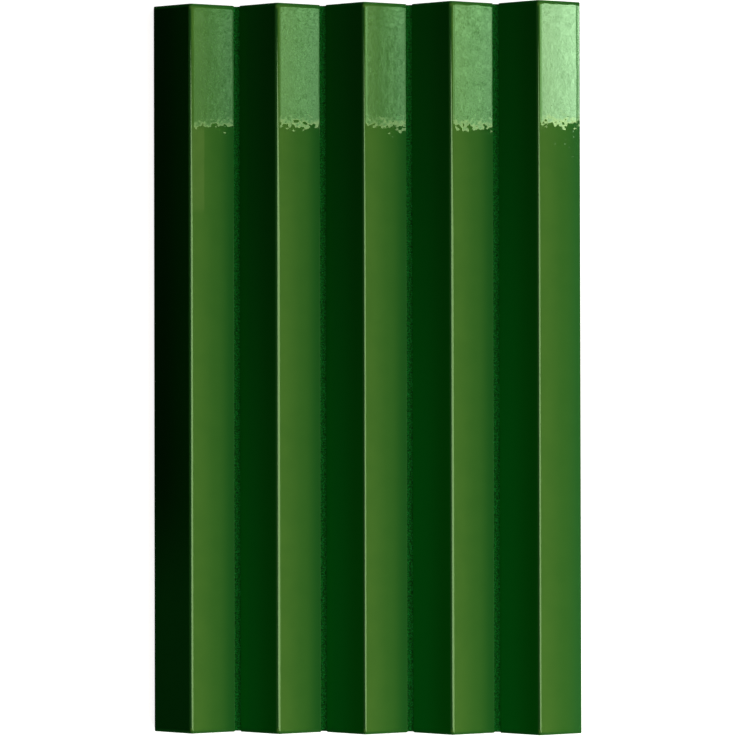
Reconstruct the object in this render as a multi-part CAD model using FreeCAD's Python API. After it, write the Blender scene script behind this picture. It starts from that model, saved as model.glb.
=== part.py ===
import FreeCAD, Part
import os

# Sheet of relief mosaic tile: glazed ceramic bars of triangular section, side by side, with filled
# joints between them and a scrim of laid strands glued across their backs.
# Millimetres. The bars run along Y with their ridges up; the origin is the middle of the underside.

# Layout of the sheet
bar_count = 5
bar_length = 315.0
bar_width = 35.0
joint_width = 2.5

# Section of one bar
foot_height = 4.5
ridge_rise = 11.4
ridge_radius = 1.6
foot_radius = 0.5
end_radius = 0.4

# Keying grooves in the back of each bar, narrower at the root than at the mouth
groove_count = 3
groove_pitch = 9.0
groove_mouth = 3.2
groove_root = 2.2
groove_depth = 0.8

# Joint filling, dished between the bars and stopped short of their ends
filling_height = 4.0
filling_dish = 0.4
filling_setback = 0.4

# Scrim on the back: a layer of strands along the bars, and under it a layer across them
strand_pitch = 5.0
strand_width = 0.9
strand_thickness = 0.3
strand_overhang = 0.6
scrim_margin = 2.0

# Heights and widths that follow
bar_pitch = bar_width + joint_width
sheet_width = bar_count * bar_width + (bar_count - 1) * joint_width
back_level = 2 * strand_thickness
foot_level = back_level + foot_height
ridge_level = foot_level + ridge_rise


def centred_rows(count, pitch):
    """Evenly spaced positions with their middle at zero."""
    return [(index - (count - 1) / 2) * pitch for index in range(count)]


def corner(x, z):
    """Point of a section in the XZ plane."""
    return FreeCAD.Vector(x, 0, z)


def extrude_along_y(section_edges, length):
    """Solid with the given closed section, centred on Y."""
    section = Part.Face(Part.Wire(section_edges))
    solid = section.extrude(FreeCAD.Vector(0, length, 0))
    solid.translate(FreeCAD.Vector(0, -length / 2, 0))
    return solid


def shifted(solid, x, y=0):
    """Copy of a solid, moved in the plane of the sheet."""
    copy = solid.copy()
    copy.translate(FreeCAD.Vector(x, y, 0))
    return copy


def same(length, other):
    """Whether two lengths are equal but for rounding."""
    return abs(length - other) < FreeCAD.Base.Precision.approximation()


def long_edges_at(solid, level):
    """Edges that run the whole length of a bar at one height."""
    middles = [(edge, edge.CenterOfMass) for edge in solid.Edges]
    return [edge for edge, middle in middles if same(middle.y, 0) and same(middle.z, level)]


def end_edges_above_back(solid):
    """Edges that outline the two ends of a bar, without those on its back."""
    middles = [(edge, edge.CenterOfMass) for edge in solid.Edges]
    return [
        edge for edge, middle in middles
        if same(abs(middle.y), bar_length / 2) and not same(middle.z, back_level)
    ]


def keying_groove():
    """Prism that cuts one groove from end to end of a bar's back."""
    root_level = back_level + groove_depth
    outline = [
        corner(-groove_mouth / 2, back_level),
        corner(groove_mouth / 2, back_level),
        corner(groove_root / 2, root_level),
        corner(-groove_root / 2, root_level),
        corner(-groove_mouth / 2, back_level),
    ]
    return extrude_along_y(Part.makePolygon(outline).Edges, bar_length)


def ridged_bar():
    """One fired bar: a low foot with upright sides, and two slopes that meet in a rounded ridge."""
    half = bar_width / 2
    outline = [
        corner(-half, back_level),
        corner(half, back_level),
        corner(half, foot_level),
        corner(0, ridge_level),
        corner(-half, foot_level),
        corner(-half, back_level),
    ]
    solid = extrude_along_y(Part.makePolygon(outline).Edges, bar_length)
    solid = solid.makeFillet(ridge_radius, long_edges_at(solid, ridge_level))
    solid = solid.makeFillet(foot_radius, long_edges_at(solid, foot_level))
    solid = solid.makeFillet(end_radius, end_edges_above_back(solid))
    grooves = [shifted(keying_groove(), x) for x in centred_rows(groove_count, groove_pitch)]
    return solid.cut(grooves)


def joint_filling():
    """Strip that fills one joint, with a hollow top between the feet of two bars."""
    half = joint_width / 2
    top_level = back_level + filling_height
    section_edges = [
        Part.makeLine(corner(-half, back_level), corner(half, back_level)),
        Part.makeLine(corner(half, back_level), corner(half, top_level)),
        Part.Arc(
            corner(half, top_level),
            corner(0, top_level - filling_dish),
            corner(-half, top_level),
        ).toShape(),
        Part.makeLine(corner(-half, top_level), corner(-half, back_level)),
    ]
    return extrude_along_y(section_edges, bar_length - 2 * filling_setback)


def strand_count(room):
    """How many strands fit in the room across them, at their pitch."""
    return int((room - strand_width) // strand_pitch) + 1


def strand(width_x, width_y, base_level):
    """One flat strand, centred on the sheet."""
    base = FreeCAD.Vector(-width_x / 2, -width_y / 2, base_level)
    return Part.makeBox(width_x, width_y, strand_thickness, base)


def scrim_layers():
    """The strands along the bars, and the strands across them that carry the sheet on the floor."""
    lengthwise_count = strand_count(sheet_width - 2 * scrim_margin)
    crosswise_count = strand_count(bar_length - 2 * scrim_margin)
    cut_ends = strand_width + 2 * strand_overhang
    scrim_width = (lengthwise_count - 1) * strand_pitch + cut_ends
    scrim_length = (crosswise_count - 1) * strand_pitch + cut_ends
    lengthwise = strand(strand_width, scrim_length, strand_thickness)
    crosswise = strand(scrim_width, strand_width, 0)
    return (
        [shifted(lengthwise, x) for x in centred_rows(lengthwise_count, strand_pitch)],
        [shifted(crosswise, 0, y) for y in centred_rows(crosswise_count, strand_pitch)],
    )


def write_node(name, shape):
    """One STEP file for each node, named after it."""
    shape.exportStep(os.path.join("parts", name + ".step"))


os.makedirs("parts", exist_ok=True)

bar = ridged_bar()
for number, x in enumerate(centred_rows(bar_count, bar_pitch), start=1):
    write_node("bar_%d" % number, shifted(bar, x))

filling = joint_filling()
for number, x in enumerate(centred_rows(bar_count - 1, bar_pitch), start=1):
    write_node("filling_%d" % number, shifted(filling, x))

lengthwise_strands, crosswise_strands = scrim_layers()
write_node("scrim_lengthwise", Part.makeCompound(lengthwise_strands))
write_node("scrim_crosswise", Part.makeCompound(crosswise_strands))
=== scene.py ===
import math

import bpy
import numpy as np
from mathutils import Euler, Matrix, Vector, noise


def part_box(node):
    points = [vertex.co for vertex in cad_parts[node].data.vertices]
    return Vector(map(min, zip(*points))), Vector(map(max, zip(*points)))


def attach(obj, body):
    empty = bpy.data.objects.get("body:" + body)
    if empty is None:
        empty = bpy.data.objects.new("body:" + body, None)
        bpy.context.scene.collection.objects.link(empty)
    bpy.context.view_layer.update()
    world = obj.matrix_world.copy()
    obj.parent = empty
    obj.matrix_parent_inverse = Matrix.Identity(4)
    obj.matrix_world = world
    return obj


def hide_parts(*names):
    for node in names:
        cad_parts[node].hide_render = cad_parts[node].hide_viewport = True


# Sheet of relief mosaic tile: glossy green glazed bars of triangular section, rough filled joints,
# and a scrim of strands across the backs. Metres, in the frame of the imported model.

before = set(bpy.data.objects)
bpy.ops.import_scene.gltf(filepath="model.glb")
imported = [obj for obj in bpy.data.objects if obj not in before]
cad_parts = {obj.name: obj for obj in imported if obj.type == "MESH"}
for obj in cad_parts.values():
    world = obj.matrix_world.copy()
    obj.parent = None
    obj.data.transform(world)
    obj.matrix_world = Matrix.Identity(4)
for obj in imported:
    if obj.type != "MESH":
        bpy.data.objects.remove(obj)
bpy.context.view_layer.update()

MM = 0.001
BODY = "root"
BAR_COUNT = 5

# Section of a bar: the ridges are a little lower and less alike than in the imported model
FOOT_HEIGHT = 4.5 * MM
RIDGE_RISE = 10.9 * MM
RIDGE_RADII = [1.5 * MM, 1.9 * MM, 1.2 * MM, 1.8 * MM, 1.3 * MM]
FOOT_RADIUS = 0.5 * MM
END_RADIUS = 0.4 * MM
GROOVE_OFFSETS = [-9.0 * MM, 0.0, 9.0 * MM]
GROOVE_MOUTH = 3.2 * MM
GROOVE_ROOT = 2.2 * MM
GROOVE_DEPTH = 0.8 * MM

# Joint filling
FILLING_DISH = 0.35 * MM
GRAIN_SPACING = 0.62 * MM
GRAIN_HEIGHT = 0.3 * MM
FILLING_SMEAR = 0.2 * MM
FILLING_RISE = 0.58 * MM
FILLING_STEP = 0.33 * MM
FILLING_COLUMNS = 10

# How finely a bar's surface is divided
SIDE_STEPS = 4
FOOT_STEPS = 6
EDGE_REACH = 2.6 * MM
EDGE_STEPS = 16
SLOPE_STEPS = 16
RIDGE_STEPS = 6
END_STEPS = 6
LENGTH_STEP = 1.5 * MM

# Scrim
STRAND_PITCH = 5.0 * MM
STRAND_WIDTH = 0.9 * MM
YARN_SIDES = 8
YARN_STEP = 1.25 * MM
GLUE_REACH = 0.8 * MM

# Camera, at the photograph's viewing angle
CAMERA_PLACE = (0.1127, -0.0152, 1.5389)
CAMERA_TURNS = (0.557, 4.178, -0.117)
CAMERA_LENS = 173.9

# Softbox that the far parts of the right faces mirror. Each row of its outline is a height with the near
# and the far edge, and each level is a height with a brightness. Every bar mirrors a stretch of its own,
# the rightmost bar the lowest.
SOFTBOX_X = 2.5
SOFTBOX_RIM = 0.010
SOFTBOX_OUTLINE = [
    (0.930, 0.3095, 0.465),
    (1.119, 0.3115, 0.481),
    (1.244, 0.317, 0.484),
    (1.343, 0.3184, 0.488),
    (1.442, 0.328, 0.491),
    (1.547, 0.3355, 0.496),
    (1.652, 0.342, 0.505),
    (1.768, 0.3465, 0.510),
]
SOFTBOX_BOTTOM = 0.93
SOFTBOX_TOP = 1.75
SOFTBOX_BRIGHTEST = 14.0
SOFTBOX_LEVELS = [
    (SOFTBOX_BOTTOM, 14.0),
    (1.119, 14.0),
    (1.223, 13.0),
    (1.267, 8.2),
    (1.32, 5.2),
    (1.366, 3.9),
    (1.419, 3.7),
    (1.465, 1.0),
    (1.524, 3.9),
    (1.57, 2.95),
    (1.629, 2.75),
    (1.675, 1.15),
    (SOFTBOX_TOP, 1.0),
]

# Lamps
OVERHEAD_PLACE = (0.815, -0.080, 2.24)
OVERHEAD_LENGTH = 0.77
WARM_WHITE = (1.0, 0.88, 0.76)


class Graph:
    """The nodes of one material, with short calls to add and join them."""

    def __init__(self, name):
        self.material = bpy.data.materials.new(name)
        self.material.use_nodes = True
        self.tree = self.material.node_tree
        self.shader = self.tree.nodes["Principled BSDF"]
        self.place = self.node("ShaderNodeTexCoord").outputs["Object"]

    def node(self, kind, **settings):
        """Adds a node of that kind with those settings."""
        made = self.tree.nodes.new(kind)
        for key, value in settings.items():
            setattr(made, key, value)
        return made

    def feed(self, socket, value):
        """Joins an output to a socket, or writes a plain value on it."""
        if isinstance(value, bpy.types.NodeSocket):
            self.tree.links.new(value, socket)
        else:
            socket.default_value = value

    def math(self, operation, first, second):
        """Joins two values by one operation."""
        made = self.node("ShaderNodeMath", operation=operation)
        self.feed(made.inputs[0], first)
        self.feed(made.inputs[1], second)
        return made.outputs[0]

    def span(self, value, low, high, to_low=0.0, to_high=1.0, smooth=True):
        """Maps low..high onto to_low..to_high, clamped."""
        made = self.node("ShaderNodeMapRange", interpolation_type="SMOOTHSTEP" if smooth else "LINEAR")
        for socket, entry in zip(made.inputs, (value, low, high, to_low, to_high)):
            self.feed(socket, entry)
        return made.outputs[0]

    def mix(self, factor, first, second):
        """Mixes two colours."""
        made = self.node("ShaderNodeMix", data_type="RGBA")
        self.feed(made.inputs[0], factor)
        self.feed(made.inputs[6], first)
        self.feed(made.inputs[7], second)
        return made.outputs[2]

    def stretch(self, x, y, z):
        """The place on the surface, scaled along each axis."""
        made = self.node("ShaderNodeVectorMath", operation="MULTIPLY")
        self.feed(made.inputs[0], self.place)
        made.inputs[1].default_value = (x, y, z)
        return made.outputs[0]

    def noise(self, size, detail=2.0, roughness=0.5, place=None):
        """Smooth noise whose features are about that size, in metres."""
        made = self.node("ShaderNodeTexNoise")
        self.feed(made.inputs["Vector"], place or self.place)
        made.inputs["Scale"].default_value = 1.0 / size
        made.inputs["Detail"].default_value = detail
        made.inputs["Roughness"].default_value = roughness
        return made.outputs["Fac"]

    def cells(self, size):
        """Distance to the nearest of scattered points that are about that far apart, as a share of it."""
        made = self.node("ShaderNodeTexVoronoi")
        self.feed(made.inputs["Vector"], self.place)
        made.inputs["Scale"].default_value = 1.0 / size
        return made.outputs["Distance"]

    def bump(self, height, depth, below=None):
        """Relief of that depth in metres for heights of 0 to 1."""
        made = self.node("ShaderNodeBump")
        made.inputs["Strength"].default_value = 1.0
        made.inputs["Distance"].default_value = depth
        self.feed(made.inputs["Height"], height)
        if below is not None:
            self.feed(made.inputs["Normal"], below)
        return made.outputs[0]

    def axes(self):
        """The place on the surface as separate x, y and z."""
        made = self.node("ShaderNodeSeparateXYZ")
        self.feed(made.inputs[0], self.place)
        return made.outputs[0], made.outputs[1], made.outputs[2]

    def attribute(self, name):
        """A value stored on the points of the mesh."""
        return self.node("ShaderNodeAttribute", attribute_name=name).outputs["Fac"]


def colour(red, green, blue):
    """An opaque colour, linear."""
    return (red, green, blue, 1.0)


def right_face_tone(graph, rightward, across, along, wander):
    """Olive glaze that greens towards the foot, with painted shade at the feet of the bars that have a
    neighbour on their right, and a painted reflection as a paler streak on the bar at the far left.
    """
    upper = graph.mix(graph.span(rightward, 2, 13), colour(0.060, 0.160, 0.022), colour(0.036, 0.135, 0.017))
    # The feet of the four bars with a neighbour on their right are darker than the outermost bar's: painted
    # shade from that neighbour.
    outermost = graph.span(across, 56 * MM, 58 * MM)
    foot = graph.mix(outermost, colour(0.013, 0.103, 0.013), colour(0.021, 0.120, 0.020))
    tone = graph.mix(graph.span(rightward, 12, 20), upper, foot)
    # A paler streak on the bar at the far left, just below where it mirrors the softbox: a painted
    # reflection.
    painted_reflection_start = graph.span(along, 66 * MM, 70 * MM)
    painted_reflection_end = graph.span(along, 102 * MM, 106 * MM, 1.0, 0.0)
    painted_reflection = graph.math("MULTIPLY", painted_reflection_start, painted_reflection_end)
    painted_reflection = graph.math("MULTIPLY", painted_reflection, graph.attribute("shaded"))
    edge = graph.math("ADD", rightward, graph.math("MULTIPLY", wander, 0.6))
    painted_reflection = graph.math("MULTIPLY", painted_reflection, graph.span(edge, 6.3, 6.9, 0.55, 0.0))
    return graph.mix(painted_reflection, tone, colour(0.095, 0.195, 0.036))


def left_face_painted_shade(graph, leftward, across, along, dark):
    """Painted shade on the left faces: deep green, darker towards the far end and the left, lighter towards
    the foot as painted bounce light from the neighbouring bar, and nearly black on the shaded bar.
    """
    downhill = graph.span(leftward, 2, 16)
    pale = graph.mix(downhill, colour(0.001, 0.084, 0.002), colour(0.001, 0.121, 0.007))
    deep = graph.mix(downhill, colour(0.001, 0.037, 0.001), colour(0.001, 0.053, 0.002))
    slant = graph.math("SUBTRACT", along, graph.math("MULTIPLY", across, 0.9))
    tone = graph.mix(graph.span(slant, -100 * MM, 200 * MM), pale, deep)
    # The shaded bar at the far left has no neighbour on its left: its left face is nearly black, darker
    # towards its foot and far end, all painted shade.
    black = graph.mix(downhill, colour(0.0005, 0.023, 0.0005), colour(0.0005, 0.013, 0.0005))
    shaded = graph.mix(dark, colour(0.001, 0.038, 0.002), black)
    return graph.mix(graph.attribute("shaded"), tone, shaded)


def glaze_material():
    """Transparent green glaze, olive on the right faces, with painted shade: deep green on the left faces,
    darker over the ridge and at the ends, and weaker reflections on the left faces.
    """
    graph = Graph("glaze")
    rightward = graph.math("DIVIDE", graph.attribute("off_ridge"), MM)
    leftward = graph.math("MULTIPLY", rightward, -1.0)
    off_end = graph.math("DIVIDE", graph.attribute("off_end"), MM)
    across, along, height = graph.axes()
    cloud = graph.noise(9 * MM, detail=3.0)
    wander = graph.noise(6 * MM, detail=2.0, place=graph.stretch(0.3, 1.0, 0.3))

    # Painted shade that deepens towards the far end, for the left face and the reflections of the shaded
    # bar.
    dark = graph.span(along, -112 * MM, -42 * MM)
    right = right_face_tone(graph, rightward, across, along, wander)
    left = left_face_painted_shade(graph, leftward, across, along, dark)
    side = graph.span(rightward, -1.35, -0.1)
    body = graph.mix(side, left, right)
    # Darker at the rounded ends, and darker still on the left half: painted shade.
    over_ridge = graph.span(leftward, -1.0, 1.0)
    end_painted_shade = graph.mix(over_ridge, colour(0.018, 0.100, 0.014), colour(0.006, 0.070, 0.008))
    body = graph.mix(graph.span(off_end, 0.8, 1.7, 0.8, 0.0), body, end_painted_shade)
    cloudy = graph.math("MULTIPLY", graph.span(cloud, 0.35, 0.7, 0.0, 0.15), side)
    body = graph.mix(cloudy, body, colour(0.020, 0.105, 0.012))

    # A darker band over the crest of the ridge: painted shade where the ridge turns from the lit side to the
    # shaded one.
    reach = graph.math("ADD", rightward, graph.math("MULTIPLY", wander, 0.4))
    ridge_painted_shade = graph.math("MULTIPLY", graph.span(reach, -1.2, -0.4), graph.span(reach, 0.1, 0.8, 1.0, 0.0))
    ridge_painted_shade = graph.math("MULTIPLY", ridge_painted_shade, graph.span(off_end, 1.6, 3.2))
    body = graph.mix(ridge_painted_shade, body, colour(0.014, 0.085, 0.013))

    level = graph.math("SUBTRACT", height, graph.math("MULTIPLY", cloud, 1.4 * MM))
    bare = graph.span(level, 0.5 * MM, 0.8 * MM, 1.0, 0.0)
    clay = graph.mix(graph.noise(1.2 * MM, detail=4.0), colour(0.42, 0.34, 0.27), colour(0.55, 0.47, 0.39))
    graph.feed(graph.shader.inputs["Base Color"], graph.mix(bare, body, clay))

    smear = graph.span(graph.noise(14 * MM, detail=4.0), 0.4, 0.75, 0.007, 0.014)
    roughness = graph.math("MAXIMUM", smear, graph.math("MULTIPLY", bare, 0.8))
    graph.feed(graph.shader.inputs["Roughness"], roughness)
    graph.shader.inputs["IOR"].default_value = 1.6
    # Reflections are weaker and greener on the left faces, and weaker still on the shaded bar towards its
    # far end: painted shade in the reflections.
    shaded_bar_reflection = graph.math("MULTIPLY", graph.attribute("shaded"), dark)
    mirror = graph.mix(shaded_bar_reflection, colour(0.03, 0.8, 0.22), colour(0.01, 0.3, 0.05))
    tint = graph.mix(side, mirror, colour(0.6, 1.0, 0.55))
    graph.feed(graph.shader.inputs["Specular Tint"], tint)

    calm = graph.span(off_end, 4, 22)
    ripple = graph.noise(2.6 * MM, detail=1.0, place=graph.stretch(1.0, 0.7, 1.0))
    ripple = graph.bump(graph.math("MULTIPLY", ripple, calm), 0.007 * MM)
    pits = graph.span(graph.cells(2.8 * MM), 0.05, 0.12)
    graph.feed(graph.shader.inputs["Normal"], graph.bump(pits, 0.0025 * MM, ripple))
    return graph.material


def clay_material():
    """Bare fired clay of the backs."""
    graph = Graph("fired_clay")
    grain = graph.noise(0.8 * MM, detail=5.0, roughness=0.6)
    tone = graph.mix(graph.noise(16 * MM, detail=3.0), colour(0.44, 0.36, 0.29), colour(0.56, 0.48, 0.40))
    tone = graph.mix(graph.span(grain, 0.55, 0.75, 0.0, 0.4), tone, colour(0.30, 0.23, 0.18))
    graph.feed(graph.shader.inputs["Base Color"], tone)
    graph.shader.inputs["Roughness"].default_value = 0.85
    graph.feed(graph.shader.inputs["Normal"], graph.bump(grain, 0.08 * MM))
    return graph.material


def filling_material():
    """Dark green joint filling with sand grains of mixed tone."""
    graph = Graph("joint_filling")
    cells = graph.cells(0.55 * MM)
    patchy = graph.span(graph.noise(0.8 * MM, detail=3.0), 0.3, 0.7)
    tone = graph.mix(patchy, colour(0.001, 0.024, 0.002), colour(0.002, 0.115, 0.006))
    grain = graph.span(cells, 0.1, 0.45, 1.0, 0.0)
    tone = graph.mix(graph.math("MULTIPLY", grain, 0.75), tone, colour(0.010, 0.280, 0.045))
    graph.feed(graph.shader.inputs["Base Color"], tone)
    graph.shader.inputs["Roughness"].default_value = 0.75
    graph.shader.inputs["Specular IOR Level"].default_value = 0.06
    graph.feed(graph.shader.inputs["Normal"], graph.bump(cells, 0.12 * MM))
    return graph.material


def strand_material(name, stretch):
    """Off-white fibre bundles stiffened with glue, their fibres drawn out along the strand."""
    graph = Graph(name)
    fibres = graph.noise(0.16 * MM, detail=3.0, place=graph.stretch(*stretch))
    tone = graph.mix(fibres, colour(0.60, 0.60, 0.55), colour(0.82, 0.82, 0.78))
    graph.feed(graph.shader.inputs["Base Color"], tone)
    graph.shader.inputs["Roughness"].default_value = 0.45
    graph.feed(graph.shader.inputs["Normal"], graph.bump(fibres, 0.05 * MM))
    return graph.material


def add_mesh(name, points, faces, materials):
    """A smooth-shaded mesh object in the scene."""
    mesh = bpy.data.meshes.new(name)
    mesh.from_pydata([tuple(point) for point in points], [], faces)
    for material in materials:
        mesh.materials.append(material)
    mesh.polygons.foreach_set("use_smooth", [True] * len(mesh.polygons))
    made = bpy.data.objects.new(name, mesh)
    bpy.context.scene.collection.objects.link(made)
    return made


def arc(centre, radius, start, end, steps):
    """(x, z, normal angle) along an arc of a section, without its first point."""
    angles = np.linspace(start, end, steps + 1)[1:]
    return [(centre[0] + radius * math.cos(a), centre[1] + radius * math.sin(a), a) for a in angles]


def line(start, end, steps, angle):
    """(x, z, normal angle) along a straight of a section, without its first point."""
    shares = np.linspace(0, 1, steps + 1)[1:]
    return [(start[0] + (end[0] - start[0]) * t, start[1] + (end[1] - start[1]) * t, angle) for t in shares]


def right_half_section(half, base, ridge_radius):
    """Glazed outline of a bar from the foot of its right side up to the middle of the ridge."""
    slope = math.atan2(RIDGE_RISE, half)
    facing = math.pi / 2 - slope
    foot_level = base + FOOT_HEIGHT
    side_top = foot_level - FOOT_RADIUS * math.tan(facing / 2)
    foot_centre = (half - FOOT_RADIUS, side_top)
    ridge_centre = (0.0, foot_level + RIDGE_RISE - ridge_radius / math.cos(slope))
    outline = [(half, base, 0.0)]
    outline += line((half, base), (half, side_top), SIDE_STEPS, 0.0)
    outline += arc(foot_centre, FOOT_RADIUS, 0.0, facing, FOOT_STEPS)
    slope_top = (
        ridge_centre[0] + ridge_radius * math.cos(facing),
        ridge_centre[1] + ridge_radius * math.sin(facing),
    )
    slope_foot = outline[-1][:2]
    share = EDGE_REACH / math.dist(slope_foot, slope_top)
    edge_top = tuple(low + (high - low) * share for low, high in zip(slope_foot, slope_top))
    outline += line(slope_foot, edge_top, EDGE_STEPS, facing)
    outline += line(edge_top, slope_top, SLOPE_STEPS, facing)
    outline += arc(ridge_centre, ridge_radius, facing, math.pi / 2, RIDGE_STEPS)
    return outline


def back_section(half, base):
    """Outline of a bar's back from left to right, down into each keying groove."""
    outline = []
    for x in GROOVE_OFFSETS:
        outline += [
            (x - GROOVE_MOUTH / 2, base),
            (x - GROOVE_ROOT / 2, base + GROOVE_DEPTH),
            (x + GROOVE_ROOT / 2, base + GROOVE_DEPTH),
            (x + GROOVE_MOUTH / 2, base),
        ]
    return outline


def rows_along(low, high):
    """Places along a bar, close together over the rounded ends."""
    turns = [END_RADIUS * (1 - math.cos(a)) for a in np.linspace(0, math.pi / 2, END_STEPS + 1)]
    settle = [END_RADIUS + step * MM for step in (0.3, 0.6, 1.0, 1.5, 2.1, 2.8, 3.6, 4.6)]
    near = turns + settle
    count = round((high - low - 2 * near[-1]) / LENGTH_STEP)
    middle = list(np.linspace(low + near[-1], high - near[-1], count + 1))[1:-1]
    return [low + d for d in near] + middle + [high - d for d in reversed(near)]


def end_inset(distance):
    """How far the rounded end draws the surface in, at a distance from the end face."""
    short = max(END_RADIUS - distance, 0.0)
    return END_RADIUS - math.sqrt(max(END_RADIUS ** 2 - short ** 2, 0.0))


def glaze_relief(x, y, off_foot, off_ridge, off_end, seed, bead_place, bead_height):
    """Height of the glaze over the pressed body: slow waves, a bead along the feet and drawn-in ends."""
    waves = noise.noise(Vector((x * 55, y * 22, seed))) * 0.004 * MM
    waves += noise.noise(Vector((x * 160, y * 90, seed + 7))) * 0.0022 * MM
    drift = noise.noise(Vector((seed, y * 45, 3.0))) * 0.5 * MM
    drift += noise.noise(Vector((seed, y * 170, 5.0))) * 0.12 * MM
    bead = math.exp(-(((off_foot - bead_place + drift) / (0.35 * MM)) ** 2)) * bead_height
    corner = math.exp(-off_foot / (0.9 * MM)) + math.exp(-off_ridge / (1.1 * MM))
    end_drift = noise.noise(Vector((x * 240, seed, 9.0))) * 0.4 * MM + corner * 0.8 * MM
    drawn_in = max(0.0, 1.45 * MM + end_drift - off_end) ** 2 * 24.0
    return waves + bead - drawn_in


def add_bar(number, materials):
    """One glazed bar, lofted along its length, in place of its CAD solid."""
    node = "bar_%d" % number
    low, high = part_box(node)
    middle = (low.x + high.x) / 2
    half = (high.x - low.x) / 2
    right = right_half_section(half, low.z, RIDGE_RADII[number - 1])
    left = [(-x, z, math.pi - angle) for x, z, angle in reversed(right[:-1])]
    glazed = right + left
    back = back_section(half, low.z)
    lengths = np.cumsum([0.0] + [math.dist(a[:2], b[:2]) for a, b in zip(glazed, glazed[1:])])
    crest = lengths[len(right) - 1]
    foot_mark = lengths[SIDE_STEPS]

    points = []
    offsets = []
    off_end = []
    shaded = 1.0 if number == 1 else 0.0
    bead = (1.3 * MM, 0.032 * MM) if number == BAR_COUNT else (0.3 * MM, 0.010 * MM)
    rows = rows_along(low.y, high.y)
    for y in rows:
        from_end = min(y - low.y, high.y - y)
        inset = end_inset(from_end)
        for (x, z, angle), length in zip(glazed, lengths):
            along = min(length, lengths[-1] - length)
            off_foot = along - foot_mark
            off_ridge = abs(crest - length)
            outward = -inset
            if off_foot > 0:
                outward += glaze_relief(x, y, off_foot, off_ridge, from_end, number * 11.0, *bead)
            points.append((middle + x + math.cos(angle) * outward, y, z + math.sin(angle) * outward))
            offsets.append(crest - length)
            off_end.append(from_end)
        for x, z in back:
            points.append((middle + x, y, z))
            offsets.append(half)
            off_end.append(from_end)

    ring = len(glazed) + len(back)
    faces = []
    kinds = []
    for row in range(len(rows) - 1):
        for step in range(ring):
            following = (step + 1) % ring
            a = row * ring
            b = a + ring
            faces.append((a + step, b + step, b + following, a + following))
            kinds.append(0 if step < len(glazed) - 1 else 1)
    last = (len(rows) - 1) * ring
    faces.append(tuple(range(ring)))
    faces.append(tuple(last + step for step in reversed(range(ring))))
    kinds += [0, 0]

    made = add_mesh("glazed_bar_%d" % number, points, faces, materials)
    made.data.polygons.foreach_set("material_index", kinds)
    made.data.polygons.foreach_set("use_smooth", [kind == 0 for kind in kinds[:-2]] + [False, False])
    values_by_name = {"off_ridge": offsets, "off_end": off_end, "shaded": [shaded] * len(points)}
    for name, values in values_by_name.items():
        made.data.attributes.new(name, "FLOAT", "POINT").data.foreach_set("value", values)
    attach(made, BODY)
    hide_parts(node)
    return made


def grain_lift(x, y, seed):
    """Height of the sand grains in the joint filling."""
    near = noise.voronoi(Vector((x / GRAIN_SPACING, y / GRAIN_SPACING, seed)))[0]
    grain = max(0.0, 1.0 - near[0] / 0.6)
    patch = noise.noise(Vector((x * 900, y * 300, seed + 5)))
    return GRAIN_HEIGHT * (grain * (0.7 + 0.6 * patch) - 0.45) + patch * 0.08 * MM


def add_filling(number, material):
    """One strip of joint filling with a dished, sandy top."""
    node = "filling_%d" % number
    low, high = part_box(node)
    count = round((high.y - low.y) / FILLING_STEP)
    start = low.x - FILLING_SMEAR
    width = high.x - low.x + 2 * FILLING_SMEAR
    points = []
    for y in np.linspace(low.y, high.y, count + 1):
        end_drop = max(0.0, 1.0 - min(y - low.y, high.y - y) / (0.8 * MM)) ** 2 * 0.35 * MM
        for step in range(FILLING_COLUMNS + 1):
            share = step / FILLING_COLUMNS
            dish = 4 * share * (1 - share) * FILLING_DISH
            x = start + width * share
            lift = grain_lift(x, y, number * 3.0)
            points.append((x, y, high.z + FILLING_RISE - dish - end_drop + lift))
        points.append((high.x, y, low.z))
        points.append((low.x, y, low.z))
    ring = FILLING_COLUMNS + 3
    faces = []
    for row in range(count):
        for step in range(ring):
            following = (step + 1) % ring
            a = row * ring
            b = a + ring
            faces.append((a + following, b + following, b + step, a + step))
    faces.append(tuple(reversed(range(ring))))
    faces.append(tuple(count * ring + step for step in range(ring)))
    made = add_mesh("sanded_filling_%d" % number, points, faces, [material])
    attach(made, BODY)
    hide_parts(node)
    return made


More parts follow.
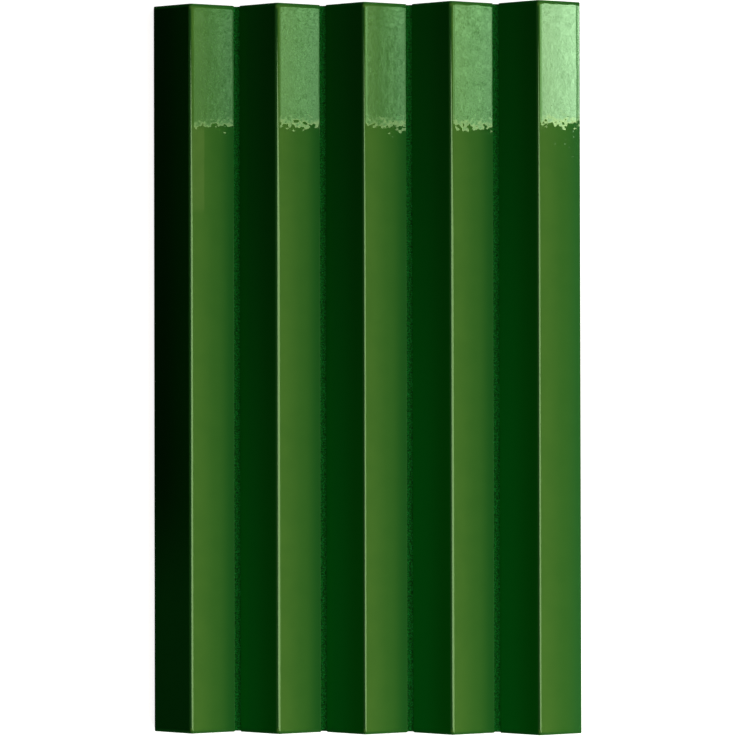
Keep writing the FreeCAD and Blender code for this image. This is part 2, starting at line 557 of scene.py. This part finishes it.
def add_scrim(node, along, material):
    """One layer of the scrim as flattened yarns, spread and glued where they cross the other layer."""
    across = 1 - along
    low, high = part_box(node)
    count = round((high[across] - low[across] - STRAND_WIDTH) / STRAND_PITCH) + 1
    middles = np.linspace(low[across] + STRAND_WIDTH / 2, high[across] - STRAND_WIDTH / 2, count)
    steps = round((high[along] - low[along]) / YARN_STEP)
    places = np.linspace(low[along], high[along], steps + 1)
    first_crossing = low[along] + (high[along] - low[along]) % STRAND_PITCH / 2
    level = (low.z + high.z) / 2
    depth = (high.z - low.z) / 2
    turns = [2 * math.pi * side / YARN_SIDES for side in range(YARN_SIDES)]
    points = []
    faces = []
    for number, middle in enumerate(middles):
        start = len(points)
        for place in places:
            off_crossing = abs((place - first_crossing + STRAND_PITCH / 2) % STRAND_PITCH - STRAND_PITCH / 2)
            spread = 1.0 + 0.3 * max(0.0, 1.0 - off_crossing / GLUE_REACH)
            frayed = 1.0 + 0.25 * noise.noise(Vector((place * 300, number * 5.0, along)))
            waver = noise.noise(Vector((place * 40, number * 3.0, along + 2))) * 0.35 * MM
            half = STRAND_WIDTH * 0.4 * spread * frayed
            for turn in turns:
                point = [0.0, 0.0, level + depth * math.sin(turn)]
                point[along] = place
                point[across] = middle + waver + half * math.cos(turn)
                points.append(point)
        for step in range(steps):
            for side in range(YARN_SIDES):
                following = (side + 1) % YARN_SIDES
                a = start + step * YARN_SIDES
                b = a + YARN_SIDES
                face = (a + side, b + side, b + following, a + following)
                faces.append(face if along == 1 else face[::-1])
        last = len(points) - 1
        for cap in (range(start, start + YARN_SIDES), range(last, last - YARN_SIDES, -1)):
            faces.append(tuple(cap) if along == 1 else tuple(cap)[::-1])
    made = add_mesh("yarns_" + node, points, faces, [material])
    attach(made, BODY)
    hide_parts(node)
    return made


def add_floor():
    """White floor that keeps a faint shadow where the camera sees it."""
    size = 4.0
    corners = [(-size, -size, 0.0), (size, -size, 0.0), (size, size, 0.0), (-size, size, 0.0)]
    graph = Graph("white_floor")
    graph.shader.inputs["Base Color"].default_value = colour(0.8, 0.8, 0.8)
    graph.shader.inputs["Roughness"].default_value = 0.9
    graph.shader.inputs["Specular IOR Level"].default_value = 0.0
    graph.shader.inputs["Emission Color"].default_value = colour(1.0, 1.0, 1.0)
    path = graph.node("ShaderNodeLightPath")
    seen = graph.math("MAXIMUM", path.outputs["Is Camera Ray"], path.outputs["Is Glossy Ray"])
    graph.feed(graph.shader.inputs["Emission Strength"], graph.math("MULTIPLY", seen, 0.85))
    floor = add_mesh("floor", corners, [(0, 1, 2, 3)], [graph.material])


def add_world():
    """Dim room light, and plain white where the camera looks past the floor."""
    world = bpy.data.worlds.new("room")
    bpy.context.scene.world = world
    world.use_nodes = True
    tree = world.node_tree
    background = tree.nodes["Background"]
    background.inputs["Color"].default_value = colour(1.0, 1.0, 1.0)
    seen = tree.nodes.new("ShaderNodeLightPath").outputs["Is Camera Ray"]
    strength = tree.nodes.new("ShaderNodeMapRange")
    strength.inputs["To Min"].default_value = 0.03
    strength.inputs["To Max"].default_value = 1.0
    tree.links.new(seen, strength.inputs["Value"])
    tree.links.new(strength.outputs[0], background.inputs["Strength"])


def add_area_light(name, place, width, height, power, tone=(1.0, 1.0, 1.0)):
    """A rectangular lamp that faces the middle of the sheet; its width lies along the bars."""
    light = bpy.data.lights.new(name, "AREA")
    light.color = tone
    light.shape = "RECTANGLE"
    light.size = width
    light.size_y = height
    light.energy = power
    made = bpy.data.objects.new(name, light)
    bpy.context.scene.collection.objects.link(made)
    made.location = place
    made.rotation_euler = (-Vector(place)).to_track_quat("-Z", "Y").to_euler()
    return made


def softbox_material():
    """Glow that changes with height, is finely mottled and has a warm rim along its near edge."""
    graph = Graph("softbox")
    graph.shader.inputs["Base Color"].default_value = colour(0.0, 0.0, 0.0)
    graph.shader.inputs["Specular IOR Level"].default_value = 0.0
    ramp = graph.node("ShaderNodeValToRGB")
    depth, height = graph.axes()[1:]
    graph.feed(ramp.inputs[0], graph.span(height, SOFTBOX_BOTTOM, SOFTBOX_TOP, smooth=False))
    elements = ramp.color_ramp.elements
    for z, level in SOFTBOX_LEVELS[1:-1]:
        elements.new((z - SOFTBOX_BOTTOM) / (SOFTBOX_TOP - SOFTBOX_BOTTOM))
    for element, (z, level) in zip(elements, SOFTBOX_LEVELS):
        share = level / SOFTBOX_BRIGHTEST
        element.color = colour(share, share, share)
    upper = graph.span(height, 1.28, 1.31)
    dimmest = graph.span(height, 1.28, 1.31, 8.5, 5.0)
    brightest = graph.span(height, 1.28, 1.31, 19.5, 23.0)
    speckle = graph.noise(3.1 * MM, detail=3.0, roughness=0.85)
    mottle = graph.span(speckle, 0.35, 0.65, dimmest, brightest, smooth=False)
    glow = graph.math("MULTIPLY", ramp.outputs[0], mottle)
    glow = graph.math("MULTIPLY", glow, graph.span(depth, 0.33, 0.49, 0.91, 1.09, smooth=False))
    rim_glow = graph.span(graph.attribute("rim"), 0.0, 1.0, 0.0, 3.6, smooth=False)
    tone = graph.mix(upper, colour(1.0, 1.0, 1.0), colour(0.82, 1.0, 0.80))
    warm = graph.mix(graph.attribute("rim"), tone, colour(1.0, 0.84, 0.66))
    graph.feed(graph.shader.inputs["Emission Color"], warm)
    graph.feed(graph.shader.inputs["Emission Strength"], graph.math("ADD", glow, rim_glow))
    return graph.material


def add_softbox():
    """Softbox at the right, uneven in brightness, that the upper parts of the right faces mirror."""
    points = []
    for z, near, far in SOFTBOX_OUTLINE:
        points += [(SOFTBOX_X, near, z), (SOFTBOX_X, near + SOFTBOX_RIM, z), (SOFTBOX_X, far, z)]
    faces = []
    for row in range(len(SOFTBOX_OUTLINE) - 1):
        for step in range(2):
            a = row * 3 + step
            faces.append((a, a + 1, a + 4, a + 3))
    panel = add_mesh("softbox", points, faces, [softbox_material()])
    rim = [1.0, 0.0, 0.0] * len(SOFTBOX_OUTLINE)
    panel.data.attributes.new("rim", "FLOAT", "POINT").data.foreach_set("value", rim)
    panel.visible_camera = False


def add_camera():
    """Looks down on the sheet from a little to the right of its middle."""
    lens = bpy.data.cameras.new("camera")
    lens.lens = CAMERA_LENS
    lens.sensor_width = 36.0
    made = bpy.data.objects.new("camera", lens)
    bpy.context.scene.collection.objects.link(made)
    made.location = CAMERA_PLACE
    made.rotation_euler = Euler([math.radians(turn) for turn in CAMERA_TURNS])
    bpy.context.scene.camera = made


glaze = glaze_material()
clay = clay_material()
for number in range(1, BAR_COUNT + 1):
    add_bar(number, [glaze, clay])
filling = filling_material()
for number in range(1, BAR_COUNT):
    add_filling(number, filling)
add_scrim("scrim_lengthwise", 1, strand_material("yarn_lengthwise", (1.0, 0.08, 1.0)))
add_scrim("scrim_crosswise", 0, strand_material("yarn_crosswise", (0.08, 1.0, 1.0)))

add_camera()
add_floor()
add_world()
add_softbox()
ridge_strip = add_area_light("ridge_strip", OVERHEAD_PLACE, OVERHEAD_LENGTH, 2.60, 31.0, WARM_WHITE)
ridge_strip.visible_diffuse = False
for light in (
    add_area_light("overhead", OVERHEAD_PLACE, OVERHEAD_LENGTH, 1.86, 17.5, WARM_WHITE),
    add_area_light("upper_right", (1.95, 1.05, 0.80), 1.2, 1.5, 32.0),
    add_area_light("lower_right", (0.62, -0.95, 0.62), 0.5, 0.5, 10.0),
):
    light.visible_glossy = False

bpy.context.scene.view_settings.view_transform = "Standard"
